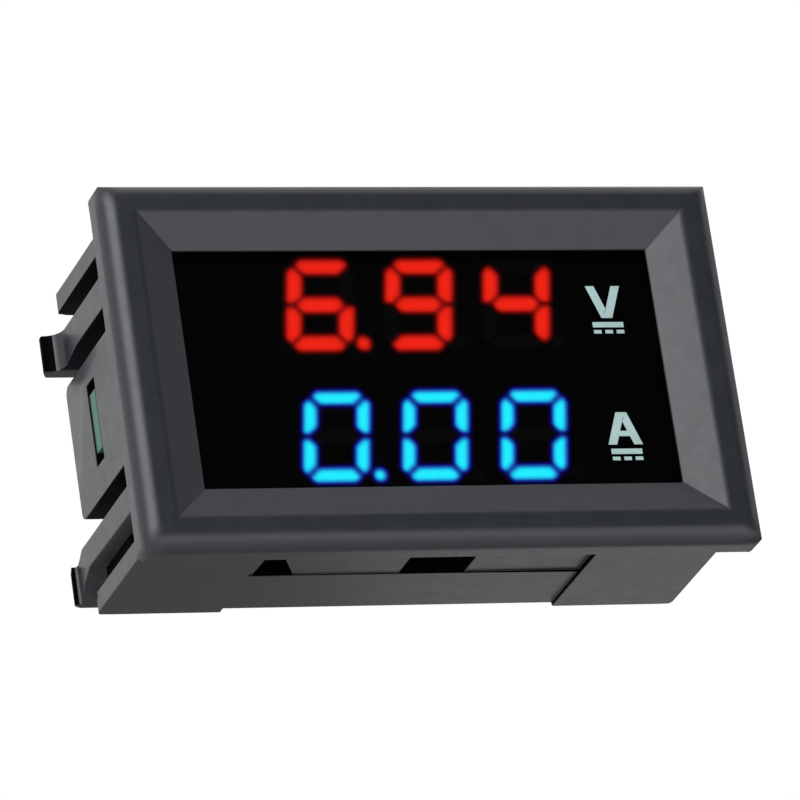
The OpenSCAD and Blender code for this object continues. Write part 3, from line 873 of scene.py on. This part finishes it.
class METER_OT_display(Operator):
    """Finishes the display module's shell: a black face with pale wells"""

    bl_idname = "panel_meter.display"
    bl_label = "Display module"

    def execute(self, context):
        made, tree, shader = material("display_shell")
        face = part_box("display_shell")[0].y
        at = object_place(tree)
        depth = add(tree, "ShaderNodeSeparateXYZ", {0: at}).outputs["Y"]
        behind = spread(tree, depth, face + 0.05 * MM, face + 0.2 * MM)
        s = use(tree, "moulded_surface", Colour=(0.55, 0.55, 0.53), Roughness=0.45)
        shade = blend_colour(tree, behind, (0.0012, 0.0012, 0.0015), s["Colour"])
        feed(tree, shader, Base_Color=shade, Roughness=s["Roughness"])
        bumped(tree, shader, s["Height"], 0.003 * MM)
        dress(made, "display_shell", "display_shell")
        return {"FINISHED"}


# tracks on the rear of the board, as (x, z) paths in millimetres
TRACKS = (
    [(-14.03, -4.2), (-14.03, -2.9), (-12.77, -2.9), (-12.77, -1.85)],
    [(-11.9, -4.2), (-11.4, -3.7), (8.7, -3.7), (9.3, -3.1), (9.3, -1.4)],
    [(-11.2, 4.25), (-4.95, 4.25)],
    [(-12.75, 4.95), (-12.75, 4.3)],
    [(-6.5, 0.6), (-4.9, 0.6)],
    [(-3.2, -0.75), (-3.2, -2.9)],
    [(1.3, -0.75), (1.3, -2.9)],
    [(4.3, 2.6), (3.2, 2.6)],
    [(6.5, 4.6), (7.5, 4.6)],
    [(9.7, 0.3), (11.6, 0.3)],
    [(13.4, 0.3), (13.4, -2.3)],
    [(11.5, 10.0), (12.3, 10.75)],
    [(-11.5, 10.0), (-12.3, 10.75)],
    [(-9.3, 10.0), (-8.9, 10.4), (8.9, 10.4), (9.3, 10.0)],
    [(-19.4, -2.4), (-19.4, -9.9), (-18.7, -10.6), (18.7, -10.6), (19.4, -9.9), (19.4, -1.4)],
    [(19.0, 1.9), (19.0, 3.4)],
)
VIAS = (
    (9.3, -1.4),
    (-4.95, 4.25),
    (-4.9, 0.6),
    (-3.2, -2.9),
    (1.3, -2.9),
    (3.2, 2.6),
    (-19.4, -2.4),
    (19.4, -1.4),
    (-18.6, 8.6),
    (18.6, 8.6),
    (-8.2, -8.2),
    (8.0, 7.4),
)
# parts with a printed outline, and its distance to the part across and upright
OUTLINED = (
    ("supply_header", 0.35, 0.25),
    ("current_header", 0.35, 0.25),
    ("current_shunt", 0.9, 0.4),
    ("input_diode", 0.75, 0.2),
    ("regulator", 0.45, 0.0),
)


class METER_OT_board(Operator):
    """Finishes both boards with painted shade over their front parts, and lays tracks, vias and printed
    outlines on the rear
    """

    bl_idname = "panel_meter.board"
    bl_label = "Circuit board"

    def execute(self, context):
        s = context.scene.meter_board
        made, tree, shader = material("board_epoxy")
        low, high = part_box("circuit_board")
        at = object_place(tree)
        normal = add(tree, "ShaderNodeNewGeometry").outputs["True Normal"]
        flat = maths(tree, "ABSOLUTE", add(tree, "ShaderNodeSeparateXYZ", {0: normal}).outputs["Y"])
        edge = maths(tree, "SUBTRACT", 1.0, flat, clamp=True)
        flow = use(tree, "mould_flow", Colour=s.mask, Speck=[c * 0.8 for c in s.mask], Size=1200.0)
        glass = add(
            tree,
            "ShaderNodeTexWave",
            {"Vector": at, "Scale": 900.0, "Distortion": 2.0},
            bands_direction="Y",
        ).outputs["Fac"]
        raw = blend_colour(tree, glass, s.core, [c * 0.7 for c in s.core])
        place_now = add(tree, "ShaderNodeSeparateXYZ", {0: at}).outputs
        # the mask covers the cut edge's two borders, a little more at the front
        middle = (low.y + high.y) / 2 + 0.05 * MM
        off = maths(tree, "ABSOLUTE", maths(tree, "SUBTRACT", place_now["Y"], middle))
        skin_share = spread(tree, off, 0.42 * MM, 0.6 * MM, 0.0, 0.9, smooth=True)
        raw = blend_colour(tree, skin_share, raw, (0.006, 0.03, 0.02))
        across = maths(tree, "ABSOLUTE", place_now["X"])
        tab_start = 20.9 * MM
        # painted shade: board faces in front of a plane just behind the main board's front face are
        # painted near-black, except beyond the main board's tab width
        front = spread(tree, place_now["Y"], low.y + 0.05 * MM, low.y + 0.2 * MM, 1.0, 0.0)
        front_painted_shade = maths(tree, "MULTIPLY", front, maths(tree, "LESS_THAN", across, tab_start))
        shade = blend_colour(tree, edge, flow["Colour"], raw)
        shade = blend_colour(tree, front_painted_shade, shade, (0.002, 0.006, 0.004))
        rough = spread(tree, edge, 0.0, 1.0, 0.3, 0.6)
        feed(tree, shader, Base_Color=shade, Roughness=rough)
        bumped(tree, shader, flow["Height"], 0.004 * MM)
        dress(made, "board_epoxy", "circuit_board", "display_board")
        self.tracks(s, high.y)
        self.print(s, high.y)
        return {"FINISHED"}

    def tracks(self, s, rear):
        """Copper tracks under the solder mask and the bare rings of the vias at their ends."""
        pins = [(-3.2, -3.96), (-1.9, -1.32), (0.7, 1.32), (1.95, 3.96)]
        to_display = [[(a, 5.85), (a, 6.4), (b, 7.4), (b, 8.1)] for a, b in pins]
        to_vias = [[(b, -8.1), (b, -6.85)] for _, b in pins]
        paths = [*TRACKS, *to_display, *to_vias]
        lines = [
            bar(np.array(path) * MM, s.track_w, rear - 0.02 * MM, rear + s.track_t)
            for path in paths
        ]
        green = cast("track_mask", s.track, [c * 0.85 for c in s.track], 0.3, 1200.0)
        new_piece("board_tracks", *joined(lines), green)
        ends = [*VIAS, *[path[-1] for path in to_vias]]
        top = rear + s.track_t + 0.01 * MM
        rings = [
            ring_disc(x * MM, z * MM, 0.16 * MM, 0.34 * MM, rear - 0.02 * MM, top) for x, z in ends
        ]
        tin = metal("via_tin", (0.72, 0.7, 0.62), (0.5, 0.48, 0.42), 0.3)
        new_piece("board_vias", *joined(rings), tin)

    def print(self, s, rear):
        """White printed outlines round the larger parts and a dot beside each chip's first pin."""
        low, high = rear - 0.02 * MM, rear + 0.015 * MM
        half = s.print_w / 2
        parts = []
        for node, gap_x, gap_z in OUTLINED:
            a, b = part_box(node)
            x0, x1 = a.x - gap_x * MM, b.x + gap_x * MM
            z0, z1 = a.z - gap_z * MM, b.z + gap_z * MM
            for z in (z0, z1):
                parts.append(bar([(x0 - half, z), (x1 + half, z)], s.print_w, low, high))
            for x in (x0, x1):
                parts.append(bar([(x, z0 + half), (x, z1 - half)], s.print_w, low, high))
        for node in ("microcontroller", "amplifier"):
            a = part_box(node)[0]
            parts.append(ring_disc(a.x - 0.6 * MM, a.z - 0.5 * MM, 0.02 * MM, 0.26 * MM, low, high))
        white = cast("board_print", (0.72, 0.73, 0.7), (0.6, 0.61, 0.58), 0.5, 4000.0)
        new_piece("board_print", *joined(parts), white)


class METER_OT_parts(Operator):
    """Finishes the chips, headers, trimmers, shunt, pins and soldering"""

    bl_idname = "panel_meter.parts"
    bl_label = "Board parts"

    def execute(self, context):
        tin = metal("tinned_metal", (0.72, 0.73, 0.74), (0.5, 0.5, 0.5), 0.22)
        dress(
            tin,
            "tinned_metal",
            *[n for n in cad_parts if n.endswith(("_leads", "_pins", "_terminals", "_ends"))],
            "solder_joints",
        )
        epoxy = plastic("chip_epoxy", (0.018, 0.018, 0.02), 0.5, 0.006 * MM, 3600.0)
        dress(epoxy, "chip_epoxy", "microcontroller", "amplifier", "regulator", "input_diode")
        wire = metal("shunt_wire", (0.62, 0.5, 0.36), (0.4, 0.3, 0.2), 0.28)
        dress(wire, "shunt_wire", "current_shunt")
        nylon = plastic("header_nylon", (0.78, 0.76, 0.68), 0.42, 0.003 * MM, 2600.0)
        dress(nylon, "header_nylon", "supply_header", "current_header")
        base = plastic("trimmer_base", (0.02, 0.1, 0.42), 0.4)
        dress(base, "trimmer_base", "volts_trimmer_base", "amps_trimmer_base")
        rotor = plastic("trimmer_rotor", (0.8, 0.79, 0.74), 0.45)
        dress(rotor, "trimmer_rotor", "volts_trimmer_rotor", "amps_trimmer_rotor")
        tan = cast("capacitor_ceramic", (0.36, 0.22, 0.11), (0.28, 0.16, 0.08), 0.35)
        dress(tan, "capacitor_body", "chip_capacitors")
        black = cast("resistor_glaze", (0.02, 0.02, 0.022), (0.04, 0.04, 0.045), 0.25, 3000.0, 0.4)
        dress(black, "chip_epoxy", "chip_resistors")
        return {"FINISHED"}


# ---------------------------------------------------------------- stage

# screens that the gloss sees: direction, how dark (bright below 0), half angles in degrees
SCREENS = (
    ((0.52, -0.77, 0.37), 0.95, 22.0, 42.0),
    ((0.736, 0.608, -0.297), 0.75, 26.0, 66.0),
    ((-0.424, -0.831, 0.367), -1.0, 12.0, 34.0),
    ((0.333, -0.843, -0.423), -0.9, 12.0, 34.0),
)


class METER_OT_stage(Operator):
    """Makes the floor, the camera, the soft lamp and the pale surroundings"""

    bl_idname = "panel_meter.stage"
    bl_label = "Stage"

    def execute(self, context):
        s = context.scene.meter_stage
        self.camera(context, s)
        self.surroundings(context, s)
        high = Vector(CAD_BOX[1])
        self.lamp(context, "softbox", (0, 0, 0), s.key_away, s.key_size, s.key)
        self.lamp(context, "low_lamp", (high.x * 0.7, 0, -high.z), s.low_away, s.low_size, s.low)
        self.floor(s)
        context.scene.view_settings.view_transform = "Standard"
        return {"FINISHED"}

    def camera(self, context, s):
        """Looks at the middle from this azimuth and elevation, turned by the roll."""
        back = np.array(
            [
                -math.sin(s.azimuth) * math.cos(s.elevation),
                -math.cos(s.azimuth) * math.cos(s.elevation),
                math.sin(s.elevation),
            ]
        )
        level = np.array([math.cos(s.azimuth), -math.sin(s.azimuth), 0.0])
        upright = np.cross(back, level)
        right = math.cos(s.roll) * level + math.sin(s.roll) * upright
        up = math.cos(s.roll) * upright - math.sin(s.roll) * level
        data = bpy.data.cameras.new("camera")
        data.lens = s.lens
        data.clip_start = 0.01
        data.clip_end = 20.0
        made = bpy.data.objects.new("camera", data)
        context.scene.collection.objects.link(made)
        matrix = np.eye(4)
        matrix[:3, :3] = np.stack([right, up, back], 1)
        matrix[:3, 3] = s.distance * (back - s.shift_right * right - s.shift_up * up)
        made.matrix_world = Matrix(matrix.tolist())
        context.scene.camera = made

    def surroundings(self, context, s):
        """White to the camera; even light all round; dark and bright screens for the gloss."""
        world = bpy.data.worlds.new("surroundings")
        context.scene.world = world
        world.use_nodes = True
        tree = world.node_tree
        tree.nodes.clear()
        way = add(tree, "ShaderNodeTexCoord").outputs["Generated"]
        mirrored = 1.0
        for toward, depth, inner, outer in SCREENS:
            share = add(
                tree, "ShaderNodeVectorMath", {0: way, 1: toward}, operation="DOT_PRODUCT"
            ).outputs["Value"]
            low, high = math.cos(math.radians(outer)), math.cos(math.radians(inner))
            dark = spread(tree, share, low, high, 1.0, 1.0 - depth, True)
            mirrored = maths(tree, "MULTIPLY", dark, mirrored)
        ray = add(tree, "ShaderNodeLightPath").outputs
        seen = maths(tree, "ADD", ray["Is Glossy Ray"], ray["Is Transmission Ray"], clamp=True)
        other = maths(
            tree,
            "ADD",
            maths(tree, "MULTIPLY", seen, mirrored),
            maths(tree, "MULTIPLY", maths(tree, "SUBTRACT", 1.0, seen), s.ambient),
        )
        unseen = maths(tree, "SUBTRACT", 1.0, ray["Is Camera Ray"])
        strength = maths(tree, "ADD", ray["Is Camera Ray"], maths(tree, "MULTIPLY", unseen, other))
        light = add(tree, "ShaderNodeBackground", {"Color": (1, 1, 1, 1), "Strength": strength})
        end = tree.nodes.new("ShaderNodeOutputWorld")
        tree.links.new(light.outputs[0], end.inputs["Surface"])

    def lamp(self, context, name, toward, away, size, power):
        """A round soft lamp that looks along a line at a point of the meter."""
        data = bpy.data.lights.new(name, "AREA")
        data.shape = "DISK"
        data.size = size
        data.energy = power
        made = bpy.data.objects.new(name, data)
        context.scene.collection.objects.link(made)
        back = np.asarray(away) / np.linalg.norm(away)
        side = np.cross([0.0, 0.0, 1.0], back)
        side /= np.linalg.norm(side)
        matrix = np.eye(4)
        matrix[:3, :3] = np.stack([side, np.cross(back, side), back], 1)
        matrix[:3, 3] = np.asarray(toward) + np.asarray(away)
        made.matrix_world = Matrix(matrix.tolist())
        made.visible_camera = False

    def floor(self, s):
        """A pale floor under the meter that is only seen, and only shades, from above."""
        height = CAD_BOX[0][2]
        size = 0.6
        corners = [(-size, -size), (size, -size), (size, size), (-size, size)]
        made, tree, shader = material("floor")
        tone = noise(tree, object_place(tree), 12.0, 2.0)
        shade = spread(tree, tone, 0.3, 0.7, 0.97, 1.03)
        grey = add(tree, "ShaderNodeCombineColor", {0: shade, 1: shade, 2: shade}).outputs[0]
        pale = blend_colour(tree, 1.0, s.floor_tint, grey, "MULTIPLY")
        feed(tree, shader, Base_Color=pale, Roughness=0.9)
        lift = add(tree, "ShaderNodeLightPath").outputs["Is Camera Ray"]
        glow = add(
            tree,
            "ShaderNodeEmission",
            {"Strength": maths(tree, "MULTIPLY", lift, 0.3)},
        )
        both = add(tree, "ShaderNodeAddShader", {0: shader.outputs[0], 1: glow.outputs[0]})
        clear = tree.nodes.new("ShaderNodeBsdfTransparent")
        below = add(tree, "ShaderNodeNewGeometry").outputs["Backfacing"]
        split = add(
            tree, "ShaderNodeMixShader", {0: below, 1: both.outputs[0], 2: clear.outputs[0]}
        )
        end = next(n for n in tree.nodes if n.type == "OUTPUT_MATERIAL")
        tree.links.new(split.outputs[0], end.inputs["Surface"])
        mesh = bpy.data.meshes.new("floor")
        mesh.from_pydata([(x, y, height) for x, y in corners], [], [(0, 1, 2, 3)])
        mesh.materials.append(made)
        piece = bpy.data.objects.new("floor", mesh)
        bpy.context.scene.collection.objects.link(piece)
        piece.visible_diffuse = False
        piece.visible_glossy = False
        piece.visible_transmission = False
        piece.visible_shadow = False


class METER_PT_panel(Panel):
    """Lists the meter's pieces"""

    bl_idname = "METER_PT_panel"
    bl_label = "Dual panel meter"
    bl_space_type = "VIEW_3D"
    bl_region_type = "UI"
    bl_category = "Meter"

    def draw(self, context):
        for operator in OPERATORS:
            self.layout.operator(operator.bl_idname)


SETTINGS = {
    "meter_housing": HousingSettings,
    "meter_display": DisplaySettings,
    "meter_board": BoardSettings,
    "meter_stage": StageSettings,
}
OPERATORS = (
    METER_OT_stage,
    METER_OT_housing,
    METER_OT_segments,
    METER_OT_window,
    METER_OT_marks,
    METER_OT_display,
    METER_OT_board,
    METER_OT_parts,
)


def register():
    for made in (*SETTINGS.values(), *OPERATORS, METER_PT_panel):
        bpy.utils.register_class(made)
    for name, made in SETTINGS.items():
        setattr(bpy.types.Scene, name, PointerProperty(type=made))


def unregister():
    for name in SETTINGS:
        delattr(bpy.types.Scene, name)
    for made in (METER_PT_panel, *reversed(OPERATORS), *SETTINGS.values()):
        bpy.utils.unregister_class(made)


def main():
    """Makes every piece in order."""
    register()
    for operator in OPERATORS:
        group, name = operator.bl_idname.split(".")
        getattr(getattr(bpy.ops, group), name)()


if __name__ == "__main__":
    main()
